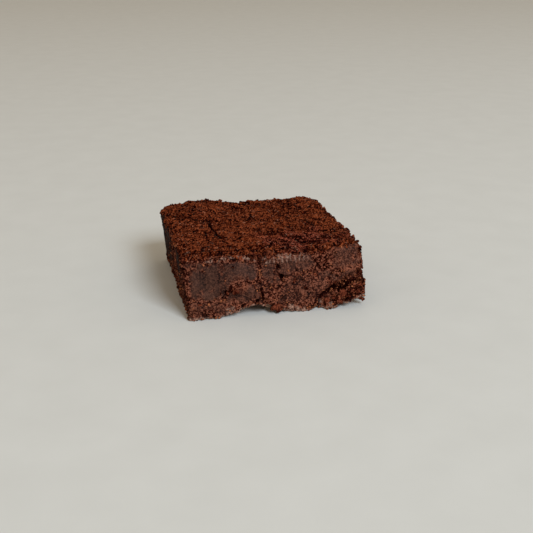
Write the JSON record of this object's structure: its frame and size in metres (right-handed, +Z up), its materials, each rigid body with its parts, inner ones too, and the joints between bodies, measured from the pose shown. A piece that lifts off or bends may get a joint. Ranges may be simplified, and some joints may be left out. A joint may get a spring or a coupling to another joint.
{
  "type": "chocolate brownie",
  "caption": "Square piece of baked chocolate brownie with a browned crust, crumbly cut sides and a torn lower corner.",
  "frame": {"origin": "middle of the base, on the surface that the piece rests on", "axes": "+Z up through the crust; +X to the right along the front cut face, the longest side; the front, with the torn lower corner at its right, faces -Y"},
  "size_m": [0.0692, 0.0666, 0.0255],
  "materials": {
    "crumb": "matte"
  },
  "bodies": {
    "root": {"brownie": "crumb"}
  },
  "joints": []
}
